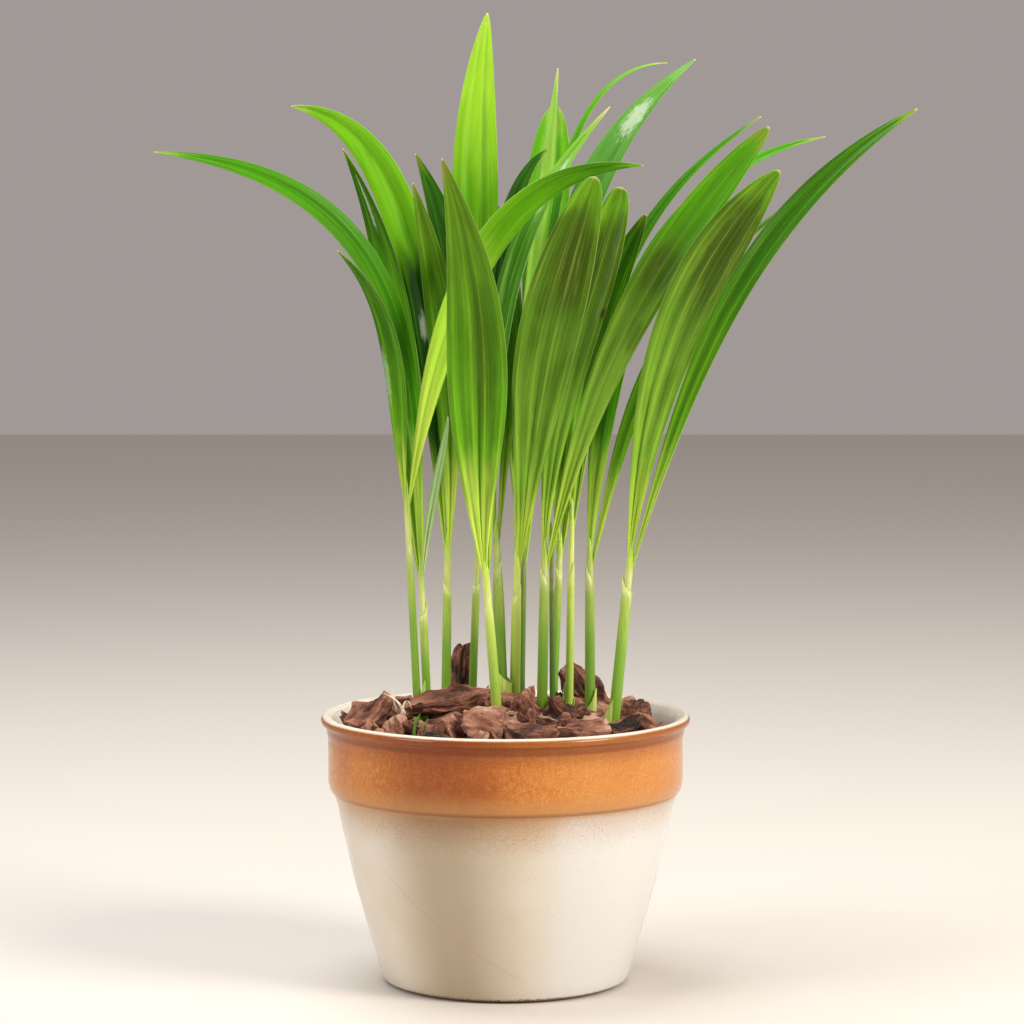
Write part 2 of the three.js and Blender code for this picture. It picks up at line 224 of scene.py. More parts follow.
potLook = {
    "profile": [
        (37.0, 0.9), (38.2, 0.0), (40.9, 0.0), (41.6, 0.5), (43.2, 1.4), (44.5, 5.0), (53.2, 35.5),
        (57.7, 55.5), (59.3, 63.6), (60.3, 66.4), (62.0, 69.0), (62.5, 71.6), (62.45, 86.4),
        (63.1, 89.6), (63.4, 91.2), (64.9, 92.0), (65.0, 93.5), (64.0, 94.8), (62.9, 94.9),
        (61.3, 94.2), (60.5, 91.6), (59.4, 87.4), (58.8, 65.0), (38.5, 8.0),
    ],
    "underside": 0.9,
    "floor": 8.0,
    "rounding": 0.45,
    "steps": 144,
    "cream": "d2cabd",
    "creamDeep": "cabb9f",
    # the next two colours are painted shade round the front left and painted light round the right
    "creamShade": "a5947a",
    "creamPale": "d4d6d6",
    "lip": "e8decc",
    # the lining is the pale inner glaze, made whiter as painted light on the inner wall
    "lining": "f8f3e9",
    "band": "b6681a",
    "bandDeep": "7a3006",
    "bandPale": "c88a46",
    "gold": "dca468",
    "bandLow": "b58552",
    # the next colour is dark rust, for the step line and, partly as painted shade, beneath the lip's roll
    "fillet": "6a2905",
    "haze": "aa7e50",
    # the next colour is the haze under the painted shade
    "hazeDeep": "8a5f34",
    "speck": "8f5a30",
    # the next colour is painted shade in a thin line round the foot
    "foot": "6f4526",
    # the painted shade is deepest at this turn round the pot
    "paintedShadeAt": -21.0,  # degrees round the pot from its front
    # scale, detail and roughness of the noises: cloud, mottle, grain and fine
    "noises": [(26.0, 4.0, 0.6), (420.0, 5.0, 0.7), (1500.0, 3.0, 0.7), (1900.0, 2.0, 0.5)],
    "wander": 9.0,
    "hazeGrain": 14.0,
    "edgeGrain": 4.0,
    "lipWander": 0.08,
    # the first four shares are the strengths of the painted shade and painted light
    "shares": {"paintedShade": 0.85, "pale": 0.75, "poolAndShade": 0.72, "bandPale": 0.45, "step": 0.45, "fillet": 0.55},
    # a span runs from one value to another, and some also give the shares at its two ends
    "spans": {
        # the first three spans place the painted shade and painted light round the pot, in degrees
        "paintedShade": (34.0, 3.0), "paleFrom": (2.0, 28.0), "paleTo": (120.0, 80.0),
        "cream": (0.35, 0.7, 0.0, 0.6), "haze": (51.0, 71.0, 0.0, 0.9),
        # the next span thins the haze under the painted light
        "hazeOnPale": (0.0, 1.0, 1.0, 0.65), "specks": (0.64, 0.7),
        "speckRise": (36.0, 64.0, 0.05, 0.65), "poolAndShade": (0.45, 0.7, 0.0, 0.28),
        "thin": (0.0, 0.8, 1.0, 0.3), "mottle": (0.4, 0.7, 0.0, 0.5), "gold": (0.46, 0.7, 0.0, 0.46),
        "band": (65.0, 69.5), "bandTop": (82.0, 90.0, 0.0, 0.5), "bandFoot": (77.0, 69.0, 0.0, 0.6),
        "stepFrom": (67.2, 67.8), "stepTo": (68.0, 69.2, 1.0, 0.0), "filletFrom": (88.2, 89.2),
        "filletTo": (89.6, 92.6, 1.0, 0.35), "lip": (93.8, 94.6), "liningIn": (61.9, 61.4),
        "liningUp": (73.0, 74.0), "foot": (2.0, 0.8), "roughness": (0.3, 0.75, 0.2, 0.28),
    },
    "gloss": {"Coat Weight": 0.16, "Coat Roughness": 0.1, "Specular IOR Level": 0.26},
    "ripple": (60.0, 1.0, 0.4),
    "hairline": {
        "slope": 0.55, "bow": 0.0058, "level": 12.2, "wander": 0.3, "share": 0.2, "colour": "a98a5c",
        "width": (0.1, 0.7, 1.0, 0.0), "left": (-48.0, -34.0), "right": (9.0, 0.0), "front": (0.0, -0.01),
    },
}


def glazeMaterial(look):
    mat = Finish("creamAndRustGlaze")
    span, shares = look["spans"], look["shares"]
    place = mat.coords()
    x, y, z = mat.split(place)
    across, height = mat.times(x, 1000.0), mat.times(z, 1000.0)
    radius = mat.times(mat.reach(x, y), 1000.0)
    turned = mat.times(mat.maths("ARCTAN2", x, mat.times(y, -1.0)), 180.0 / math.pi)
    cloud, mottle, grain, fine = (mat.noise(place, *row) for row in look["noises"])
    wander = mat.centred(cloud, look["wander"])
    # painted shade darkens the glaze round the front left of the pot, and painted light makes it paler
    # round its right
    paintedShade = mat.remap(mat.apart(turned, look["paintedShadeAt"]), *span["paintedShade"])
    pale = mat.times(mat.remap(turned, *span["paleFrom"]), mat.remap(turned, *span["paleTo"]))
    # the rust colour fades down into the cream as a haze of specks
    low = mat.plus(height, wander)
    haze = mat.remap(mat.plus(low, mat.centred(grain, look["hazeGrain"])), *span["haze"])
    # the haze is thinner under the painted light
    haze = mat.times(haze, mat.remap(pale, *span["hazeOnPale"]))
    # the cream body carries the painted shade and painted light
    body = mat.layered(look["cream"], [
        (mat.remap(cloud, *span["cream"]), look["creamDeep"]),
        (mat.times(paintedShade, shares["paintedShade"]), look["creamShade"]),
        (mat.times(pale, shares["pale"]), look["creamPale"]),
        (haze, mat.mix(paintedShade, look["haze"], look["hazeDeep"])),
        (mat.times(mat.remap(fine, *span["specks"]), mat.remap(low, *span["speckRise"])), look["speck"])])
    # the band is clouded at three sizes, and carries painted shade round its front left and painted light
    # round its right
    poolAndShade = mat.plus(mat.times(paintedShade, shares["poolAndShade"]), mat.remap(cloud, *span["poolAndShade"]))
    thin = mat.remap(poolAndShade, *span["thin"])
    edge = mat.plus(height, mat.centred(grain, look["edgeGrain"]))
    band = mat.layered(look["band"], [
        (poolAndShade, look["bandDeep"]),
        (mat.times(pale, shares["bandPale"]), look["bandPale"]),
        (mat.times(mat.remap(mottle, *span["mottle"]), thin), look["bandPale"]),
        (mat.times(mat.remap(grain, *span["gold"]), thin), look["gold"]),
        (mat.remap(height, *span["bandTop"]), look["bandDeep"]),
        (mat.remap(edge, *span["bandFoot"]), look["bandLow"])])
    step = mat.times(mat.remap(height, *span["stepFrom"]), mat.remap(height, *span["stepTo"]))
    fillet = mat.times(mat.remap(height, *span["filletFrom"]), mat.remap(height, *span["filletTo"]))
    inside = mat.times(mat.remap(radius, *span["liningIn"]), mat.remap(height, *span["liningUp"]))
    # a faint bowed hairline runs down to the right across the front of the cream body
    hair = look["hairline"]
    level = mat.plus(height, mat.times(across, hair["slope"]))
    level = mat.minus(level, mat.times(mat.times(across, across), hair["bow"]))
    level = mat.plus(level, mat.times(wander, hair["wander"]))
    line = mat.times(mat.remap(mat.apart(level, hair["level"]), *hair["width"]), hair["share"])
    for value, side in ((across, "left"), (across, "right"), (y, "front")):
        line = mat.times(line, mat.remap(value, *hair[side]))
    colour = mat.layered(body, [
        (mat.remap(edge, *span["band"]), band),
        (mat.times(step, shares["step"]), look["fillet"]),
        # under the lip the dark rust is partly the glaze's colour and partly painted shade beneath the
        # roll
        (mat.times(fillet, shares["fillet"]), look["fillet"]),
        (mat.remap(mat.plus(height, mat.times(wander, look["lipWander"])), *span["lip"]), look["lip"]),
        # the lining is made whiter as painted light on the inner wall
        (inside, look["lining"]),
        (mat.remap(edge, *span["foot"]), look["foot"]),  # painted shade in a thin dark line where the pot meets the floor
        (line, hair["colour"])])
    return mat.surface({
        "Base Color": colour,
        "Roughness": mat.remap(cloud, *span["roughness"]),
        "Normal": mat.bump(mat.noise(place, *look["ripple"]), 0.2, 0.0008),
        **look["gloss"]})


def makePot(look):
    bm = bmesh.new()
    corners = [(0.0, look["underside"]), *look["profile"], (0.0, look["floor"])]
    spinProfile(bm, corners, look["steps"], look["rounding"])
    finishPiece("glazedPot", bm, glazeMaterial(look), ["pot"])


makePot(potLook)
print("pot made")


# Soil under the bark

soilLook = {
    "dark": "1d140e",
    "light": "3a2a1e",
    "crumbs": (420.0, 6.0, 0.7),
    "lightSpan": (0.35, 0.7),
    "roughness": 0.95,
}


def soilMaterial(look):
    mat = Finish("darkPottingSoil")
    crumbs = mat.noise(mat.coords(), *look["crumbs"])
    return mat.surface({
        "Base Color": mat.mix(mat.remap(crumbs, *look["lightSpan"]), look["dark"], look["light"]),
        "Roughness": look["roughness"],
        "Normal": mat.bump(crumbs, 0.9, 0.002)})


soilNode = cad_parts["soil"]
soilNode.data.materials.clear()
soilNode.data.materials.append(soilMaterial(soilLook))
print("soil finished")


# Stems: each row is the same as the solid's, in millimetres, and face, twist and opens are degrees
# shade is painted light below 0, for a paler stem, and painted shade above 0, for a deeper one, and close
# narrows the sheath's mouth

def lobeRow(side, bend, tip, width, widest, face, tone, **more):
    return dict(side=side, bend=bend, tip=tip, width=width, widest=widest, face=face, tone=tone, **more)


def stemRow(foot, top, sheath, petiole, mouth, opens, husk, lobes, **more):
    return dict(
        foot=foot, top=top, sheath=sheath, petiole=petiole, mouth=mouth, opens=opens, husk=husk,
        lobes=lobes, **more)


stemRows = [
    stemRow((-30, -8, 81.5), (-34.6, -10, 176), 2.6, 2.1, 155, 200, 18, [
        lobeRow("left", (-38.5, -20, 219), (-57, -35, 258), 9, 0.5, -38, "deep",
                sheen=[(0.1, 0.36, 0.16, 0.1, 0.2)]),
        lobeRow("right", (-11.5, -12, 250), (48, -4, 287), 12, 0.5, 30, "ribbon", twist=-10)]),
    stemRow((-27, 3, 81.5), (-29.8, 4, 147), 2.5, 1.9, 130, 20, 0, [
        lobeRow("left", (-37, 8, 222), (-57, 9, 293), 12, 0.45, 10, "sprig", twist=-35,
                sheen=[(0.5, 0.78, 0.1, 0.1, 0.45)]),
        lobeRow("right", (-41, -5, 239.5), (-120, -25, 291.5), 11.5, 0.55, 62, "meadow", twist=-20),
        lobeRow("front", (-24.3, -5, 176), (-20, -8, 200), 3.2, 0.4, 20, "silver")]),
    stemRow((-21.5, 18, 81.5), (-20.6, 22, 155), 3.2, 2.4, 138, 150, 0, [
        lobeRow("left", (-32, 20, 250.8), (-75.5, 16, 308), 13, 0.6, 12, "shaded", twist=-20,
                sheen=[(0.45, 0.31, 0.14, 0.024, 0.32)]),
        lobeRow("right", (-21, 8, 220), (-32, -10, 281), 11, 0.55, 5, "moss")]),
    stemRow((-12.5, 26, 81.5), (-9.8, 30, 157), 2.8, 1.9, 138, 60, 0, [
        lobeRow("left", (-15, 47, 226), (-33, 66, 292), 13, 0.6, 8, "dark"),
        lobeRow("right", (-10.2, 34, 248), (-6.5, 46, 342), 16.5, 0.66, 0, "bright", taper=0.7)]),
    stemRow((-1.6, -17, 81.5), (-7, -22, 149), 3.4, 2.6, 135, 250, 0, [
        lobeRow("left", (-9.5, -36, 217), (-21, -60, 289), 20.5, 0.5, 0, "moss", twist=-4,
                dark=[(0.6, 0.43, 0.2, 0.2, 0.65)]),
        lobeRow("right", (-1.5, 3, 232), (37, 24, 308), 10, 0.6, -35, "sheer",
                sheen=[(0.6, 0.72, 0.3, 0.08, 0.5)])], shade=-0.3),
    stemRow((-0.8, 9.5, 81.5), (-3.3, 14, 158), 4.2, 2.4, 146, 30, 24, [
        lobeRow("left", (-3.5, 22, 238), (15, 28, 293), 10, 0.6, -42, "dark"),
        lobeRow("right", (2.5, 31, 228), (-11, 92, 288), 9, 0.6, 40, "deep")], shade=0.2, close=0.38),
    stemRow((3, 14, 81.5), (4.2, 10, 150), 3.1, 2.5, 135, 340, 0, [
        lobeRow("left", (8, 25, 234), (18.7, 36, 322), 9, 0.7, 55, "lime"),
        lobeRow("right", (11.5, -8, 210), (30.5, -36, 283), 21, 0.7, -8, "olive", taper=0.45,
                dark=[(0.62, 0.74, 0.36, 0.15, 0.75), (0.3, 0.62, 0.16, 0.05, 0.4)])], shade=-0.5),
    stemRow((5.5, 32, 81.5), (6.6, 38, 149), 2.2, 1.8, 145, 10, 0, [
        lobeRow("left", (0, 62, 228), (-28, 102, 274), 15, 0.55, 48, "deep"),
        lobeRow("right", (12.5, 46, 230), (18, 62, 309), 16, 0.8, 0, "fresh", taper=0.45)], shade=0.6),
    stemRow((12.6, 2, 81.5), (13.9, 2, 152), 3.1, 2.4, 143, 190, 0, [
        lobeRow("left", (21.5, 14.3, 211), (41, 19, 279.5), 14.5, 0.78, -5, "olive", taper=0.35,
                dark=[(0.3, 0.7, 0.3, 0.12, 0.5)], spots=[(0.96, 0.6, 0.1, 0.02, 0.9)]),
        lobeRow("right", (41.5, -16, 230), (90, -26, 300), 14, 0.68, -10, "sallow", twist=-10,
                taper=0.55,
                dark=[(0.55, 0.54, 0.6, 0.06, 0.6), (0.8, 0.4, 0.16, 0.04, 0.5)])], shade=0.15),
    stemRow((16.8, 15, 81.5), (16.4, 19, 156), 1.9, 1.6, 140, 90, 0, [
        lobeRow("left", (17, 36.5, 263), (58, 42, 324), 7.5, 0.5, -68, "fresh"),
        lobeRow("right", (26, 39.5, 217), (49, 80, 253), 11, 0.55, -45, "deep")], shade=0.65),
    stemRow((16.8, 36, 81.5), (19.8, 44, 150), 2.7, 2.2, 142, 130, 0, [
        lobeRow("left", (21.5, 53, 246), (69, 60, 326), 12, 0.65, -12, "satin",
                sheen=[(0.52, 0.76, 0.34, 0.06, 0.55)]),
        lobeRow("right", (29, 68, 226), (47, 112, 275), 15, 0.55, -42, "deep")]),
    stemRow((22.4, 7, 81.5), (23.5, 12, 165), 2.7, 2.0, 143, 330, 16, [
        lobeRow("left", (30.5, 24, 219), (50, 27, 270), 11, 0.6, -8, "deep", taper=0.6),
        lobeRow("right", (39.8, 42, 240.8), (92, 46, 305), 9, 0.5, -52, "meadow")], shade=-0.38),
    stemRow((29.8, -3, 81.5), (29.6, 0, 152), 3, 2.4, 143, 205, 15, [
        lobeRow("left", (46.5, 9, 243), (114, 32, 297.5), 11, 0.35, -38, "meadow", twist=5),
        lobeRow("right", (53.5, 0, 222), (107, 30, 277), 8, 0.4, -50, "deep")], shade=0.22),
    stemRow((36.6, -14, 81.5), (43.5, -17, 153), 3.4, 2.6, 141, 170, 14, [
        lobeRow("left", (56.3, -26, 223), (92, -48, 285), 18, 0.7, -8, "olive", twist=-6, taper=0.6,
                dark=[(0.62, 0.64, 0.42, 0.17, 0.65)]),
        lobeRow("right", (75.4, -45, 239.5), (137.5, -52, 305.5), 10.5, 0.6, -40, "deep", twist=-10,
                taper=0.7)]),
]

stemLook = {
    "sides": 20,
    "sheathRings": 18,
    "footFlare": 1.22,
    "narrowFrom": 0.7,
    "narrowShare": 0.1,
    "sheathWall": 0.22,
    "mouthCuts": [(2.6, 3.2), (1.56, 1.12)],  # slant and flap of the last ring and of the one before
    "flapPoint": 7,
    "huskLevels": [0.0, 0.35, 0.7, 1.0],
    "huskGap": 1.12,
    "huskFlare": 1.26,
    "huskLean": 0.02,
    "huskTurn": 140,
    "huskWall": 0.2,
    "huskCuts": [(5.5, 3.5), (2.2, 0.0)],
    "petioleRings": 20,
    "petioleFrom": 0.6,
    "crotch": 5.0,
    "closeFrom": 0.78,
    "closeShare": 0.8,
    "closeEase": 1.6,
    "stops": [
        (0.0, "a8b052"), (0.06, "7aa228"), (0.28, "7aa82c"), (0.43, "a6c050"), (0.5, "d0d88a"),
        (0.66, "d2dc84"), (0.85, "bfd662"), (1.0, "b6d552"),
    ],
    "streak": "5a8c18",
    # the next two colours are painted shade for stems that stand in shade and painted light for lit ones
    "shadedStem": "2a4a0a",
    "litStem": "d8ee6a",
    "paper": "b9cf62",
    "paperDeep": "8fa544",
    "fleck": "4a4f16",
    "fibreScale": (2600.0, 2600.0, 34.0),
    "wander": 0.16,
    "streakShare": 0.42,
    "spans": {
        "streak": (0.35, 0.7), "fleck": (0.66, 0.74), "fleckRise": (1.0, 0.2, 0.0, 0.45),
        "roughness": (0.0, 1.0, 0.34, 0.75),
    },
    "glow": {"Subsurface Weight": 0.08, "Subsurface Radius": (0.002, 0.003, 0.0008)},
}


def stemMaterial(look):
    mat = Finish("waxyGreenStem")
    span = look["spans"]
    place = mat.coords()
    along, husk, shade = (mat.attribute(name) for name in ("along", "husk", "shade"))
    fibres = mat.noise(mat.stretch(place, look["fibreScale"]), 1.0, 3.0, 0.6)
    streak = mat.remap(fibres, *span["streak"])
    shifted = mat.plus(along, mat.centred(mat.noise(place, 70.0), look["wander"]))
    flecks = mat.remap(mat.noise(place, 1100.0, 2.0), *span["fleck"])
    colour = mat.layered(mat.ramp(mat.times(shifted, 0.5), look["stops"]), [
        (mat.times(streak, look["streakShare"]), look["streak"]),
        # painted shade deepens the shaded stems and painted light makes the lit ones paler
        (mat.maths("MAXIMUM", shade, 0.0), look["shadedStem"]),
        (mat.times(mat.maths("MINIMUM", shade, 0.0), -1.0), look["litStem"]),
        (husk, mat.mix(streak, look["paper"], look["paperDeep"])),
        (mat.times(flecks, mat.remap(along, *span["fleckRise"])), look["fleck"])])
    return mat.surface({
        "Base Color": colour,
        "Roughness": mat.remap(husk, *span["roughness"]),
        "Normal": mat.bump(fibres, 0.35, 0.0003),
        **look["glow"]})


def growTube(bm, centres, radii, sides):
    # a circle carried from one centre to the next, wider or narrower each time
    start = Matrix.Translation(centres[0])
    rings = [bmesh.ops.create_circle(bm, segments=sides, radius=radii[0], matrix=start)["verts"]]
    edges = list({edge for vert in rings[0] for edge in vert.link_edges})
    for before, centre, lastRadius, radius in zip(centres, centres[1:], radii, radii[1:]):
        grown = bmesh.ops.extrude_edge_only(bm, edges=edges)["geom"]
        ring = [item for item in grown if isinstance(item, bmesh.types.BMVert)]
        edges = [item for item in grown if isinstance(item, bmesh.types.BMEdge)]
        edges = [edge for edge in edges if all(vert in ring for vert in edge.verts)]
        bmesh.ops.translate(bm, verts=ring, vec=centre - before)
        share = radius / lastRadius
        bmesh.ops.scale(bm, verts=ring, vec=(share, share, 1.0), space=Matrix.Translation(-centre))
        rings.append(ring)
    return rings


def capTube(bm, rings):
    for ring in (rings[0], rings[-1]):
        around = {edge for vert in ring for edge in vert.link_edges}
        rim = [edge for edge in around if all(vert in ring for vert in edge.verts)]
        bmesh.ops.contextual_create(bm, geom=rim)


def openMouth(rings, centres, opens, cuts):
    # the last two rings are cut on a slant, with a small pointed flap on the high side
    facing = math.radians(opens)
    for ring, centre, (slant, flap) in zip(reversed(rings), reversed(centres), cuts):
        for vert in ring:
            angle = math.atan2(vert.co.y - centre.y, vert.co.x - centre.x) - facing
            high = 0.5 + 0.5 * math.cos(angle)
            vert.co.z += (slant * (high - 0.5) + flap * high ** stemLook["flapPoint"]) * mm


def facesBeyond(bm, made):
    return [face for face in bm.faces if not any(vert in made for vert in face.verts)]


def thicken(bm, faces, wall):
    bmesh.ops.recalc_face_normals(bm, faces=faces)
    bmesh.ops.solidify(bm, geom=faces, thickness=wall * mm)


def makeStem(number, row, material):
    look = stemLook
    bm = bmesh.new()
    alongLayer, huskLayer, shadeLayer = (
        bm.verts.layers.float.new(name) for name in ("along", "husk", "shade"))
    foot, top = point(row["foot"]), point(row["top"])
    way = top - foot
    mouthShare = (row["mouth"] - row["foot"][2]) / (row["top"][2] - row["foot"][2])
    sheath = row["sheath"] / 2 * mm
    shares = evenShares(look["sheathRings"])
    centres = [foot + way * (mouthShare * share) for share in shares]
    radii = []
    for share in shares:
        flare = 1 + (look["footFlare"] - 1) * (1 - share) ** 3
        narrowed = clamp((share - look["narrowFrom"]) / (1 - look["narrowFrom"])) ** 2
        radii.append(sheath * flare * (1 - row.get("close", look["narrowShare"]) * narrowed))
    rings = growTube(bm, centres, radii, look["sides"])
    openMouth(rings, centres, row["opens"], look["mouthCuts"])
    thicken(bm, bm.faces[:], look["sheathWall"])
    for vert in bm.verts:
        share = (vert.co - foot).dot(way) / way.length_squared
        vert[alongLayer] = clamp(share / mouthShare)
    made = set(bm.verts)
    if row["husk"]:
        # the dry husk of an older leaf round the foot
        centres, radii = [], []
        for level in look["huskLevels"]:
            rise = Vector((0, 0, row["husk"] * mm * level))
            centres.append(foot + rise + way * (look["huskLean"] * level))
            flare = blendValue(look["huskGap"], look["huskFlare"], level ** 2)
            radii.append(sheath * look["footFlare"] * flare)
        rings = growTube(bm, centres, radii, look["sides"])
        openMouth(rings, centres, row["opens"] + look["huskTurn"], look["huskCuts"])
        thicken(bm, facesBeyond(bm, made), look["huskWall"])
        for vert in bm.verts:
            if vert not in made:
                vert[huskLayer] = 1.0
        made = set(bm.verts)
    # the petiole rises out of the sheath and closes between the blades
    low = foot + way * (mouthShare * look["petioleFrom"])
    high = top + way.normalized() * (look["crotch"] * mm)
    shares = evenShares(look["petioleRings"])
    centres = [low + (high - low) * share for share in shares]
    closing = [clamp((share - look["closeFrom"]) / (1 - look["closeFrom"])) for share in shares]
    petiole = row["petiole"] / 2 * mm
    radii = [petiole * (1 - look["closeShare"] * share ** look["closeEase"]) for share in closing]
    capTube(bm, growTube(bm, centres, radii, look["sides"]))
    bmesh.ops.recalc_face_normals(bm, faces=facesBeyond(bm, made))
    for vert in bm.verts:
        if vert not in made:
            share = (vert.co - foot).dot(way) / way.length_squared
            vert[alongLayer] = 1 + clamp((share - mouthShare) / (1 - mouthShare))
        vert[shadeLayer] = row.get("shade", 0.0)
    finishPiece(f"stem{number:02d}", bm, material, [f"stem_{number:02d}"])


stemFinish = stemMaterial(stemLook)
for number, row in enumerate(stemRows, 1):
    makeStem(number, row, stemFinish)
print("stems made")


# Leaves: the blade rule is the solid's own, with finer steps, thin walls and rounded pleats

leafLook = {
    "along": 72,
    "across": 12,
    "baseWidth": 0.8,
    "baseOffset": 0.3,
    "baseLift": -8.0,
    "splay": 0.1,
    "riseShare": 0.4,
    "pleatWidth": 5.2,
    "fewestPleats": 2,
    "pleatDepth": 0.13,
    "basePleatDepth": 0.62,
    "basePleatShare": 0.55,
    "cup": 0.12,
    "baseCup": 0.3,
    "baseCupShare": 0.12,
    "cupLevel": 0.4,
    "unevenness": 0.06,
    "riseEase": 1.3,
    "tipEase": 0.85,
    "tipWidth": 0.25,
    "wall": 0.32,
    "veinsPerPleat": 5.0,
    "levels": (0.07, 0.2, 0.5, 0.8),
    "tipFrom": 0.87,
    "tipFade": 0.1,
    "wander": 0.25,
    "stepEase": 1.35,
    "pleatEase": 0.7,
    "unevenWaves": (3, 5),
    # noise cells across the blade and along it, the seed's step and the detail
    "clouds": (2.4, 6.0, 1.9, 2.0),
    "dapples": (5.0, 5.0, 2.9, 3.0),
    "bruises": (1.6, 3.4, 2.3, 2.0),
    # the same, with the cells across counted in one pleat
    "streaks": (13.0, 2.2, 3.7, 3.0),
    "swells": (1.5, 16.0, 1.3, 2.0),
    "glints": (9.0, 60.0, 5.1, 3.0),
    "ragged": 1.6,
    "patchEdge": (1.15, 0.5, 0.0),
    "bruise": "333a08",
    "margin": "cfe08a",
    "dryTip": "d8c98c",
    # the sheen mark is a painted highlight, pale glossy glare on the blade
    "marks": {"dark": "3a470d", "spots": "3a2412", "sheen": "e6f2e4"},
    "spans": {
        "bruise": (0.5, 0.64), "bruiseRise": (0.25, 0.5), "dappleDark": (0.5, 0.7, 0.0, 0.35),
        "dapplePale": (0.48, 0.28, 0.0, 0.2), "stripeRise": (0.1, 0.7, 0.55, 0.24),
        "stripeCloud": (0.35, 0.65, 0.5, 1.4), "furrow": (0.4, 1.0), "rib": (0.26, 0.02),
        "vein": (0.45, 0.05), "veinStreak": (0.4, 0.65, 0.03, 0.22), "margin": (0.965, 1.0, 0.0, 0.22),
        "streakDark": (0.48, 0.72, 0.0, 0.4), "streakPale": (0.5, 0.28, 0.0, 0.28),
        "dryTip": (0.975, 1.0, 0.0, 0.8), "roughness": (0.35, 0.65, 0.34, 0.48),
    },
}

toneColumns = ("base", "low", "middle", "high", "tip", "rib", "furrow", "patch", "stripe")

leafTones = {
    "deep": ("b5d552", "5f9e18", "2f6a04", "2f6804", "6f9020", "7fb820", "1c4a04", 0.2, 0.75),
    "dark": ("98c43c", "2f6806", "123f03", "245a06", "6f8c2a", "52901c", "0a2b02", 0.15, 0.8),
    "sprig": ("b5d552", "6cac1c", "4c8c10", "225a05", "7c9a2c", "84bc28", "1e5004", 0.15, 0.7),
    "meadow": ("afd34a", "3a7c0c", "3c7e08", "428a0a", "86ae3c", "7cb820", "347408", 0.2, 0.28),
    "fresh": ("afd34a", "1f5604", "4a980e", "64b01c", "9cc050", "7ebe28", "2f740a", 0.15, 0.6),
    "satin": ("afd34a", "1f5604", "4a8f30", "6aa648", "86ba60", "86be62", "2f6c1c", 0.1, 0.3),
    "shaded": ("b2d64c", "0c3602", "0c3602", "72b81c", "a2c252", "6cb41c", "1c5a05", 0.1, 0.3),
    "bright": ("bcdb50", "3f8006", "5a9c0a", "98cc2e", "aed44a", "9cd83c", "559e10", 0.1, 0.55),
    "ribbon": ("c8e05c", "a6d83c", "5a9e0e", "326e04", "6ca01e", "8ec624", "4c8a0c", 0.0, 0.45),
    "lime": ("c4dc68", "90c238", "82ba38", "84b840", "bcc878", "c8e48a", "4f9a1a", 0.1, 0.6),
    "olive": ("b8d94c", "84b838", "58861e", "45680e", "66a018", "a4c848", "335808", 0.3, 0.82),
    "sallow": ("b8d94c", "8cbc40", "5c8a1e", "4c960e", "74902a", "98c03c", "356408", 0.2, 0.6),
    "sheer": ("b0d24c", "336c08", "2c6404", "74b034", "d6d08c", "9ccc5c", "245c06", 0.0, 0.5),
    "moss": ("c6e05e", "5a9a16", "487c0e", "547e16", "84843a", "8cbc2c", "335f08", 0.3, 0.75),
    "silver": ("b4cc74", "9cba78", "86aa70", "78a060", "94b06c", "d2e2bc", "5a8838", 0.0, 1.0),
}

# tones whose colours change at other places along the blade
toneExtras = {
    "shaded": {"levels": (0.06, 0.16, 0.39, 0.46), "wander": 0.08},
    "ribbon": {"levels": (0.07, 0.3, 0.55, 0.82)},
    "olive": {"tipFrom": 0.8},
    "sallow": {"levels": (0.07, 0.22, 0.5, 0.66)},
    "moss": {"levels": (0.06, 0.29, 0.5, 0.8)},
}


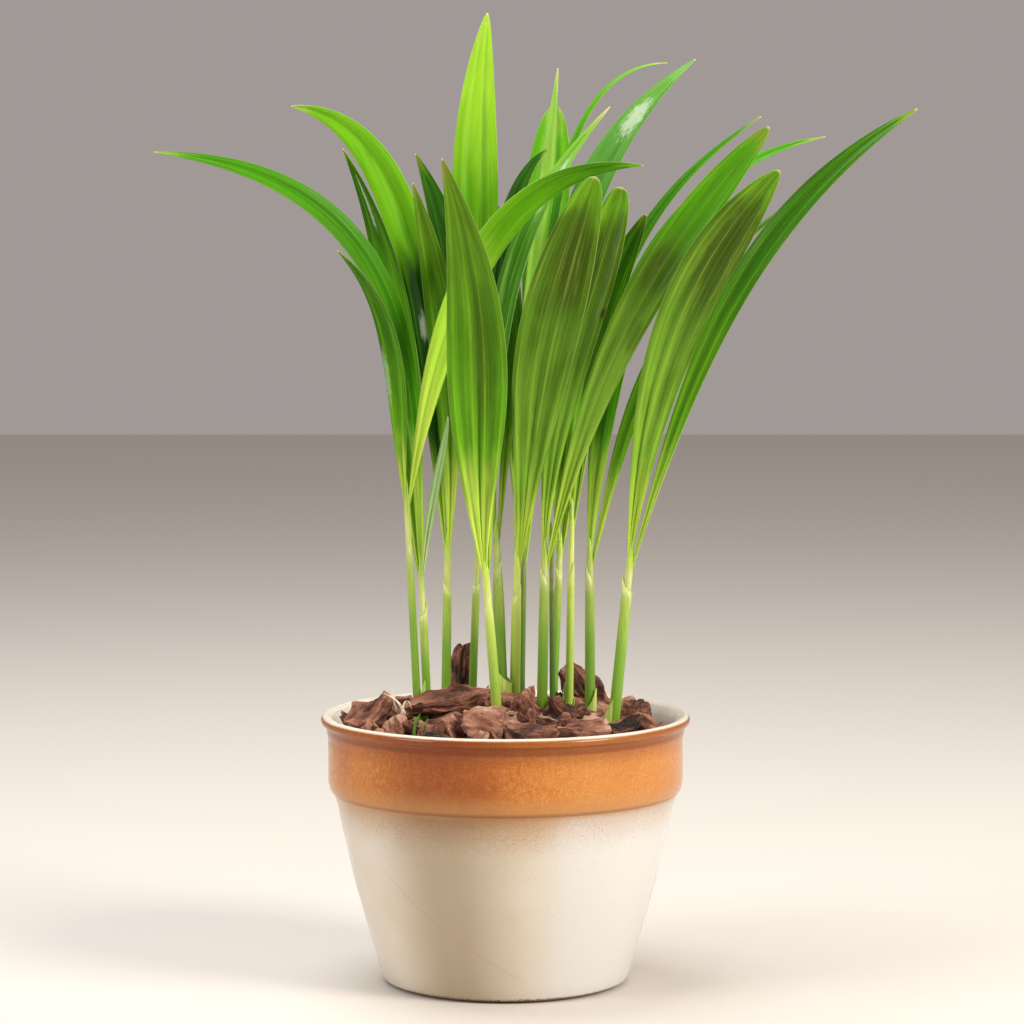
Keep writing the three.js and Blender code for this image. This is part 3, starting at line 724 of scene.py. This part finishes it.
def leafMaterial(name, lobe, pleats, seed):
    look = leafLook
    span = look["spans"]
    named = dict(zip(toneColumns, leafTones[lobe["tone"]]))
    tone = {**look, **named, **toneExtras.get(lobe["tone"], {})}
    levels, tipFrom, stripe = tone["levels"], tone["tipFrom"], tone["stripe"]
    mat = Finish(name)
    across, along = mat.split(mat.coords("UV"))[:2]

    def spread(key, count=1):
        wide, long, turn, detail = look[key]
        grid = mat.node("CombineXYZ")
        mat.feed(grid.inputs[0], mat.times(across, count * wide))
        mat.feed(grid.inputs[1], mat.times(along, long))
        grid.inputs[2].default_value = seed * turn + turn
        return mat.noise(grid.outputs[0], 1.0, detail, 0.6)

    streak, swell = spread("streaks", pleats), spread("swells", pleats)
    cloud, dapple, bruise = spread("clouds"), spread("dapples"), spread("bruises")

    def patches(kind, ragged):
        # each soft patch has its place across and along the blade, half width, half length and share
        for wide, long, halfWidth, halfLength, share in lobe.get(kind, []):
            aside = mat.maths("DIVIDE", mat.minus(across, wide), halfWidth)
            ahead = mat.maths("DIVIDE", mat.minus(along, long), halfLength)
            reach = mat.plus(mat.reach(aside, ahead), mat.centred(ragged, look["ragged"]))
            yield mat.remap(reach, *look["patchEdge"], share), look["marks"][kind]

    def ridgeOf(value):
        # 0 in the middle of each fold or vein, and 1 at its sides
        return mat.times(mat.apart(value, 0.5), 2.0)

    # pale ribs stand on the ridges and the furrows are darker, and both come and go along the blade
    pleat = mat.maths("FRACT", mat.attribute("pleat"))
    ridge = ridgeOf(pleat)
    vein = ridgeOf(mat.maths("FRACT", mat.times(pleat, look["veinsPerPleat"])))
    fade = mat.times(mat.remap(along, *span["stripeRise"]), mat.remap(cloud, *span["stripeCloud"]))
    fade = mat.times(fade, stripe)
    bruised = mat.times(mat.remap(bruise, *span["bruise"]), mat.remap(along, *span["bruiseRise"]))
    veined = mat.times(mat.remap(vein, *span["vein"]), mat.remap(streak, *span["veinStreak"]))
    colour = mat.ramp(mat.plus(along, mat.centred(cloud, tone["wander"])), [
        (0.0, tone["base"]), (levels[0], tone["base"]), (levels[1], tone["low"]),
        (levels[2], tone["middle"]), (levels[3], tone["high"]), (tipFrom, tone["high"]),
        (tipFrom + look["tipFade"], tone["tip"])])
    colour = mat.layered(colour, [
        (mat.times(bruised, tone["patch"]), look["bruise"]),
        *patches("dark", streak),
        *patches("spots", streak),
        (mat.remap(dapple, *span["dappleDark"]), tone["furrow"]),
        (mat.remap(dapple, *span["dapplePale"]), tone["rib"]),
        (mat.times(mat.remap(ridge, *span["furrow"]), fade), tone["furrow"]),
        (mat.times(mat.remap(ridge, *span["rib"]), fade), tone["rib"]),
        (mat.times(veined, stripe), tone["rib"]),
        (mat.times(mat.remap(streak, *span["streakDark"]), stripe), tone["furrow"]),
        (mat.times(mat.remap(streak, *span["streakPale"]), stripe), tone["rib"]),
        (mat.remap(ridgeOf(across), *span["margin"]), look["margin"]),
        (mat.remap(along, *span["dryTip"]), look["dryTip"])])
    # sheen patches are painted highlights of pale glossy glare
    if "sheen" in lobe:
        colour = mat.layered(colour, patches("sheen", spread("glints", pleats)))
    return mat.surface({
        "Base Color": colour,
        "Roughness": mat.remap(swell, *span["roughness"]),
        "Normal": mat.bump(swell, 0.3, 0.0003),
        "Specular IOR Level": 0.09})


def bladeCurve(row, lobe):
    look = leafLook
    away = Vector({"left": (-1, 0, 0), "right": (1, 0, 0), "front": (0, -1, 0)}[lobe["side"]])
    top = Vector(row["top"])
    grow = (top - Vector(row["foot"])).normalized()
    base = top + away * look["baseOffset"] + grow * look["baseLift"]
    bend, tip = Vector(lobe["bend"]), Vector(lobe["tip"])
    start = (grow + (bend - base).normalized() + away * look["splay"]).normalized()
    rise = base + start * ((tip - base).length * look["riseShare"])
    over = (bend * 8 - base - rise * 3 - tip) / 3  # so that the curve's middle is the bend
    return base, rise, over, tip


def curveAt(curve, t):
    a, b, c, d = curve
    s = 1 - t
    place = a * s ** 3 + b * (3 * s * s * t) + c * (3 * s * t * t) + d * t ** 3
    way = (b - a) * (s * s) + (c - b) * (2 * s * t) + (d - c) * (t * t)
    return place, way.normalized()


def bladeWidth(lobe, share):
    look = leafLook
    if share < lobe["widest"]:
        full = math.sin(share / lobe["widest"] * math.pi / 2) ** look["riseEase"]
        return blendValue(look["baseWidth"], lobe["width"], full)
    left = (1 - share) / (1 - lobe["widest"])
    full = math.sin(clamp(left) * math.pi / 2) ** lobe.get("taper", look["tipEase"])
    return blendValue(look["tipWidth"], lobe["width"], full)


def bladeFrames(row, lobe, steps):
    curve = bladeCurve(row, lobe)
    face = math.radians(lobe["face"])
    normal = Vector((math.sin(face), -math.cos(face), 0))
    frames = []
    for step in range(steps + 1):
        share = 1 - (1 - step / steps) ** leafLook["stepEase"]
        centre, way = curveAt(curve, share)
        normal = (normal - way * normal.dot(way)).normalized()
        up = Matrix.Rotation(math.radians(lobe.get("twist", 0)) * share, 3, way) @ normal
        frames.append((share, centre, up, up.cross(way)))
    return frames


def makeBlade(number, row, lobe):
    look = leafLook
    pleats = max(look["fewestPleats"], round(lobe["width"] / look["pleatWidth"]))
    across = look["across"] * pleats
    bm = bmesh.new()
    bm.loops.layers.uv.new("leafUV")
    pleatLayer = bm.verts.layers.float.new("pleat")
    seed = number * 3 + len(lobe["side"])
    bmesh.ops.create_grid(bm, x_segments=across, y_segments=look["along"], size=0.5, calc_uvs=True)
    frames = bladeFrames(row, lobe, look["along"])
    waves, drift = look["unevenWaves"]
    for vert in bm.verts:
        u = -2 * vert.co.x
        share, centre, up, sideways = frames[round((vert.co.y + 0.5) * look["along"])]
        width = bladeWidth(lobe, share)
        opened = clamp(share / look["basePleatShare"]) ** look["pleatEase"]
        depth = blendValue(look["basePleatDepth"], look["pleatDepth"], opened) * width / (2 * pleats)
        place = (1 - u) / 2
        uneven = look["unevenness"] * math.sin(waves * math.pi * place) * math.sin(seed + drift * place)
        phase = pleats * (place + uneven)
        vert[pleatLayer] = phase
        wave = -math.cos(phase * 2 * math.pi)
        cup = blendValue(look["baseCup"], look["cup"], clamp(share / look["baseCupShare"]))
        cupped = cup * width * (u * u - look["cupLevel"])
        vert.co = (centre + sideways * (u * width / 2) + up * (wave * depth + cupped)) * mm
    name = f"leaf{number:02d}{lobe['side'].capitalize()}"
    material = leafMaterial(name + "Finish", lobe, pleats, seed)
    piece = finishPiece(name, bm, material, [f"leaf_{number:02d}_{lobe['side']}"])
    wall = piece.modifiers.new("bladeThickness", "SOLIDIFY")
    wall.thickness = look["wall"] * mm
    wall.offset = 0.0


for number, row in enumerate(stemRows, 1):
    for lobe in row["lobes"]:
        makeBlade(number, row, lobe)
print("leaves made")


# Bark: the large chips are the solids' own rows, and small ones fill the bed between them
# a row gives a chip's place, size, turn in degrees and tone

barkRows = [
    ((-16, 32.5, 104), (24, 8.5, 4.5), (98, -86, 10), 0.4),
    ((-20.5, -12.5, 99.6), (29, 12, 5.5), (24, -9, 12), 0.42),
    ((-7.4, -44, 96.8), (15, 12.8, 5), (68, 8, 4), 0.58),
    ((29.5, 24, 98.5), (25, 12, 7), (66, 56, 10), 0.35),
    ((6.5, -17, 98), (17, 8, 6), (10, 60, 80), 0.45),
    ((40.5, -27, 92.6), (12, 7, 5), (8, 4, 20), 0.02),
    ((47, 2, 93.5), (10, 9, 8), (0, 10, 30), 0.3),
    ((-47, -10, 96), (18, 11, 7), (14, -42, 30), 0.4),
    ((-38, -36, 93), (12, 7.5, 4.5), (62, 60, 30), 0.75),
    ((-25.5, -45.6, 91.4), (16, 9, 4.5), (28, 5, -12), 0.3),
    ((8.5, -48, 93.5), (17, 11, 6.5), (34, 6, 10), 0.4),
    ((26, -41, 93.5), (18, 11, 5.5), (16, -4, 8), 0.55),
    ((-6, 52, 92), (20, 12, 6), (-18, 6, 15), 0.5),
    ((33, 44, 92), (18, 12, 6.5), (-14, 12, -35), 0.45),
]

# two thin curled chips stand on edge in the front of the mulch
standingRows = [
    ((-17.5, -42.5, 95.2), (9.5, 7, 3), (78, 66, 20), 0.45),
    ((-22.5, -43.5, 94.4), (8.5, 6.5, 2.8), (100, -62, 10), 0.4),
]

barkLook = {
    "seed": 41,
    "curls": (-0.25, 0.55),
    "lifts": (-0.15, 0.3),
    # the next number paints a highlight on the chips' edges
    "rimHighlight": 0.28,
    "patchTone": 0.35,
    # the next two paint shade into the gaps between chips, within this many millimetres of the bed
    "gapShade": 0.55,
    "gapDepth": 3.2,
    "large": {"splits": 9, "reach": (0.84, 1.0), "cuts": 7, "ragged": 0.17},
    "small": {"splits": 6, "reach": (0.72, 1.0), "cuts": 2, "ragged": 0.3},
    "jitter": 0.35,
    "lean": 0.6,
    "layers": 3.999,  # just under 4, for four layers through the thickness
    "spotSteps": (7.31, 3.17, 1.73),
    "cells": {
        "ragged": (2.5, 2.5, 3.1), "fibre": (2.2, 8.0, 2.0),
        "crag": (6.0, 6.0, 4.0), "warp": (2.0, 1.2, 2.0),
    },
    "depths": {"fibre": 0.2, "crag": 0.1, "cragSide": 0.08, "warp": 0.45},
    "rimLevel": 0.4,
    "smallCount": 250,
    "sizes": [(9.0, 17.5), (6.5, 12.0), (2.4, 4.6)],
    "stray": (-0.5, 1.8),
    "tilts": (26, 24),
    "tones": (0.45, 0.24),
    "toneEnds": (0.05, 0.74),
    "bedTone": 0.1,
    "wall": 58.8,
    "stemRoom": 2.6,
    "widthRoom": 0.3,
    "bedProfile": [(57.8, 81.4), (57.8, 85.0), (46.2, 89.4), (26.0, 93.0), (0.0, 94.4)],
    "bedSteps": 64,
    "fibres": (340.0, 700.0, 1000.0),
    "plies": (110.0, 180.0, 520.0),
    "stops": [(0.0, "1c0f0b"), (0.22, "4e2c21"), (0.48, "8a5642"), (0.7, "b07c64"), (1.0, "d8b096")],
    "pit": "22120d",
    "crumb": "dcb49c",
    "spans": {
        "pit": (0.6, 0.75, 0.0, 0.6), "crumb": (0.55, 0.75, 0.0, 0.3), "roughness": (0.3, 0.7, 0.72, 0.92),
    },
}


def barkMaterial(look):
    mat = Finish("reddishBarkChip")
    span = look["spans"]
    place, grain, tone = mat.coords(), mat.attribute("grain", "Vector"), mat.attribute("tone")
    fibres = mat.noise(mat.stretch(grain, look["fibres"]), 1.0, 5.0, 0.65)
    plies = mat.noise(mat.stretch(grain, look["plies"]), 1.0, 3.0, 0.6)
    pits = mat.noise(place, 900.0, 4.0, 0.7)
    crumbs = mat.noise(place, 2400.0, 2.0, 0.6)
    shade = mat.plus(tone, mat.centred(plies, 0.9))
    shade = mat.maths("ADD", shade, mat.centred(fibres, 0.7), True)
    rough = mat.plus(mat.plus(fibres, mat.times(plies, 1.4)), mat.times(pits, 0.4))
    return mat.surface({
        "Base Color": mat.layered(mat.ramp(shade, look["stops"]), [
            (mat.remap(pits, *span["pit"]), look["pit"]),
            (mat.remap(crumbs, *span["crumb"]), look["crumb"])]),
        "Roughness": mat.remap(fibres, *span["roughness"]),
        "Normal": mat.bump(rough, 1.0, 0.0018)})


def chipLayers(bm):
    return bm.verts.layers.float_vector.new("grain"), bm.verts.layers.float.new("tone")


def bedHeight(radius):
    profile = barkLook["bedProfile"][1:]
    for (outer, low), (inner, high) in zip(profile, profile[1:]):
        if radius >= inner:
            return blendValue(low, high, clamp((outer - radius) / (outer - inner)))
    return profile[-1][1]


def stemDistance(place):
    nearest = 1e9
    for row in stemRows:
        foot, top = Vector(row["foot"]), Vector(row["top"])
        share = (place.z - foot.z) / (top.z - foot.z)
        spot = foot + (top - foot) * share
        nearest = min(nearest, math.hypot(spot.x - place.x, spot.y - place.y))
    return nearest


def splitBlock(bm, kind, chance):
    # slanting planes take the block's edges off, one after the other
    look = barkLook
    bmesh.ops.create_cube(bm, size=1.0)
    for cut in range(kind["splits"]):
        angle = (cut + chance.uniform(-look["jitter"], look["jitter"])) * 2 * math.pi / kind["splits"]
        lean = chance.uniform(-look["lean"], look["lean"])
        away = Vector((math.cos(angle), math.sin(angle), lean)).normalized()
        reach = 0.5 * chance.uniform(*kind["reach"])
        split = bmesh.ops.bisect_plane(
            bm, geom=bm.verts[:] + bm.edges[:] + bm.faces[:], plane_co=away * reach, plane_no=away,
            clear_outer=True)
        rim = [item for item in split["geom_cut"] if isinstance(item, bmesh.types.BMEdge)]
        bmesh.ops.holes_fill(bm, edges=rim, sides=0)
    bmesh.ops.triangulate(bm, faces=bm.faces[:])
    bmesh.ops.subdivide_edges(bm, edges=bm.edges[:], cuts=kind["cuts"], use_grid_fill=True)
    bmesh.ops.remove_doubles(bm, verts=bm.verts[:], dist=1e-4)
    bmesh.ops.recalc_face_normals(bm, faces=bm.faces[:])


def makeChip(row, kind, seed):
    # a split block, roughened along its fibres
    look, depths = barkLook, barkLook["depths"]
    at, size, turn, baseTone = row
    bm = bmesh.new()
    grainLayer, toneLayer = chipLayers(bm)
    chance = random.Random(seed)
    curl = chance.uniform(*look["curls"])
    lift = chance.uniform(*look["lifts"])
    splitBlock(bm, kind, chance)
    length, width, thick = (value * mm for value in size)
    spot = Vector([seed * step for step in look["spotSteps"]])
    turned = Euler([math.radians(value) for value in turn], "XYZ").to_matrix()

    def rough(key, *place):
        return noise.noise(Vector([a * b for a, b in zip(place, look["cells"][key])]) + spot)

    for vert in bm.verts:
        x, y, z = vert.co
        ragged = rough("ragged", x, y, math.floor((z + 0.5) * look["layers"]))
        fibre, crag = rough("fibre", x, y, z), rough("crag", x, y, z)
        spread = 1 + kind["ragged"] * ragged + depths["cragSide"] * crag
        height = (z + depths["fibre"] * fibre + depths["crag"] * crag) * thick
        local = Vector((x * spread * length, y * spread * width, height))
        local.z += depths["warp"] * thick * rough("warp", x, y, 1.0)
        local.z += thick * (curl * (2 * y) ** 2 + lift * (2 * x) ** 2 * (1 + ragged))
        # a painted highlight makes each chip paler towards its edges
        rim = max(abs(x), abs(y)) * 2
        vert[grainLayer] = local + spot * 0.01
        vert.co = turned @ local + point(at)
        clear = vert.co.z / mm - bedHeight(math.hypot(vert.co.x, vert.co.y) / mm)
        shade = look["gapShade"] * clamp(1 - clear / look["gapDepth"])  # painted shade: the chips darken where they sink close to the bed, in the gaps between them
        tone = baseTone + look["rimHighlight"] * (rim ** 2 - look["rimLevel"])
        vert[toneLayer] = tone + look["patchTone"] * ragged - shade
    return bm


def addChip(bm, chip):
    carrier = bpy.data.meshes.new("chipCarrier")
    chip.to_mesh(carrier)
    chip.free()
    bm.from_mesh(carrier)
    bpy.data.meshes.remove(carrier)


def addMulch(bm, look):
    # small chips are dropped by chance, inside the wall and clear of the stems
    chance = random.Random(look["seed"])
    made = 0
    while made < look["smallCount"]:
        size = [chance.uniform(*ends) for ends in look["sizes"]]
        radius = look["wall"] * math.sqrt(chance.random())
        angle = chance.uniform(0, 2 * math.pi)
        if radius + size[0] * 0.5 > look["wall"]:
            continue
        spot = Vector((radius * math.cos(angle), radius * math.sin(angle), 0))
        spot.z = bedHeight(radius) + chance.uniform(*look["stray"])
        if stemDistance(spot) < look["stemRoom"] + size[1] * look["widthRoom"]:
            continue
        turn = [chance.gauss(0, tilt) for tilt in look["tilts"]] + [chance.uniform(0, 360)]
        tone = clamp(chance.gauss(*look["tones"]), *look["toneEnds"])
        made += 1
        addChip(bm, makeChip((spot, size, turn, tone), look["small"], made + 20))


def makeBark(look):
    finish = barkMaterial(look)
    for number, row in enumerate(barkRows, 1):
        chip = makeChip(row, look["large"], number)
        node = f"bark_chip_{number:02d}"
        finishPiece(f"barkChip{number:02d}", chip, finish, [node], smooth=False)
    bm = bmesh.new()
    grainLayer, toneLayer = chipLayers(bm)
    spinProfile(bm, [(0.0, look["bedProfile"][0][1]), *look["bedProfile"]], look["bedSteps"])
    for vert in bm.verts:
        vert[grainLayer] = vert.co
        vert[toneLayer] = look["bedTone"]
    for number, row in enumerate(standingRows, len(barkRows) + 1):
        addChip(bm, makeChip(row, look["large"], number))
    addMulch(bm, look)
    finishPiece("barkMulch", bm, finish, ["bark_bed"], smooth=False)


makeBark(barkLook)
print("bark made")


# Dried root slivers and small green shoots that poke out of the bark on the left

shootRows = [
    ("driedRoot", 0.6, [(-35, -19, 97), (-36.5, -19, 102), (-40, -18, 103.5), (-43, -18, 104.5)]),
    ("driedRoot", 0.35, [(-37.5, -18, 98), (-39, -18, 102), (-39.5, -18, 104), (-39.4, -18, 106)]),
    ("driedRoot", 0.35, [(-36, -20, 97), (-35.5, -20, 103), (-33.5, -20, 103.5), (-32.5, -20, 99)]),
    ("greenShoot", 0.55, [(-31, -40, 92), (-31.5, -41, 95.5), (-30.5, -42, 98.5), (-29, -42.5, 100.5)]),
    ("greenShoot", 0.45, [(-28.5, -40, 92), (-28, -41.5, 95), (-27, -42.5, 97.5), (-26.5, -43, 99)]),
]

shootLook = {
    "sides": 8,
    "rings": 10,
    "tipShare": 0.2,
    "kinds": {"greenShoot": ("freshGreenShoot", "5f8f2a"), "driedRoot": ("driedPaleRoot", "e6dcc4")},
    "fibres": (1200.0, 3.0, 0.6),
    "fibreSpan": (0.5, 0.8),
    "darker": 0.45,
    "roughness": 0.6,
}


def shootMaterial(look, name, colour):
    mat = Finish(name)
    darker = tuple(value * look["darker"] for value in tint(colour)[:3]) + (1.0,)
    share = mat.remap(mat.noise(mat.coords(), *look["fibres"]), *look["fibreSpan"])
    return mat.surface({"Base Color": mat.mix(share, colour, darker), "Roughness": look["roughness"]})


def makeShoots(look):
    finishes = {kind: shootMaterial(look, *words) for kind, words in look["kinds"].items()}
    shares = evenShares(look["rings"])
    for number, (kind, radius, path) in enumerate(shootRows, 1):
        bm = bmesh.new()
        curve = [point(place) for place in path]
        centres = [curveAt(curve, share)[0] for share in shares]
        radii = [radius * mm * blendValue(1.0, look["tipShare"], share ** 2) for share in shares]
        capTube(bm, growTube(bm, centres, radii, look["sides"]))
        bmesh.ops.recalc_face_normals(bm, faces=bm.faces[:])
        finishPiece(kind + str(number), bm, finishes[kind], None)


makeShoots(shootLook)
print("shoots made")


# Floor, light and camera

studio = {
    "floorColour": "d8d4cd",
    "floorSize": 6.0,
    "floorRoughness": 0.7,
    "skyColour": "c8bebb",
    "skyStrength": 0.62,
    "lamps": [
        {"name": "keySoftbox", "at": (1.2, -0.75, 0.85), "size": 0.6, "power": 26.0, "colour": "fff6ea"},
        {"name": "fillSoftbox", "at": (-1.1, -0.62, 0.7), "size": 0.6, "power": 8.5, "colour": "fffaf4"},
        {"name": "topSoftbox", "at": (-0.2, 0.15, 1.25), "size": 0.7, "power": 12.0, "colour": "ffffff"},
    ],
    "aim": (0.0, 0.0, 0.16),
    "cameraAt": (0.0023, -1.3, 0.277),
    "cameraPitch": 4.88,
    "cameraLens": 130.7,
    "cameraSensor": 36.0,
    "cameraClip": 0.05,
}


def makeStudio(look):
    bm = bmesh.new()
    bmesh.ops.create_grid(bm, x_segments=1, y_segments=1, size=look["floorSize"] / 2)
    mat = Finish("paleFloor")
    material = mat.surface({"Base Color": tint(look["floorColour"]), "Roughness": look["floorRoughness"]})
    floor = addObject("studioFloor", meshFrom("studioFloor", bm, material))
    scene = bpy.context.scene
    scene.world = bpy.data.worlds.new("softStudio")
    scene.world.use_nodes = True
    background = scene.world.node_tree.nodes["Background"]
    background.inputs["Color"].default_value = tint(look["skyColour"])
    background.inputs["Strength"].default_value = look["skyStrength"]
    for row in look["lamps"]:
        lamp = bpy.data.lights.new(row["name"], "AREA")
        lamp.size = row["size"]
        lamp.energy = row["power"]
        lamp.color = tint(row["colour"])[:3]
        holder = addObject(row["name"], lamp)
        holder.location = row["at"]
        holder.rotation_euler = (Vector(look["aim"]) - holder.location).to_track_quat("-Z", "Y").to_euler()
    camera = bpy.data.cameras.new("photoCamera")
    camera.sensor_width = look["cameraSensor"]
    camera.lens = look["cameraLens"]
    camera.clip_start = look["cameraClip"]
    scene.camera = addObject("photoCamera", camera)
    scene.camera.location = look["cameraAt"]
    scene.camera.rotation_euler = (math.radians(90 - look["cameraPitch"]), 0, 0)
    scene.view_settings.view_transform = "Standard"


makeStudio(studio)
print("studio made")
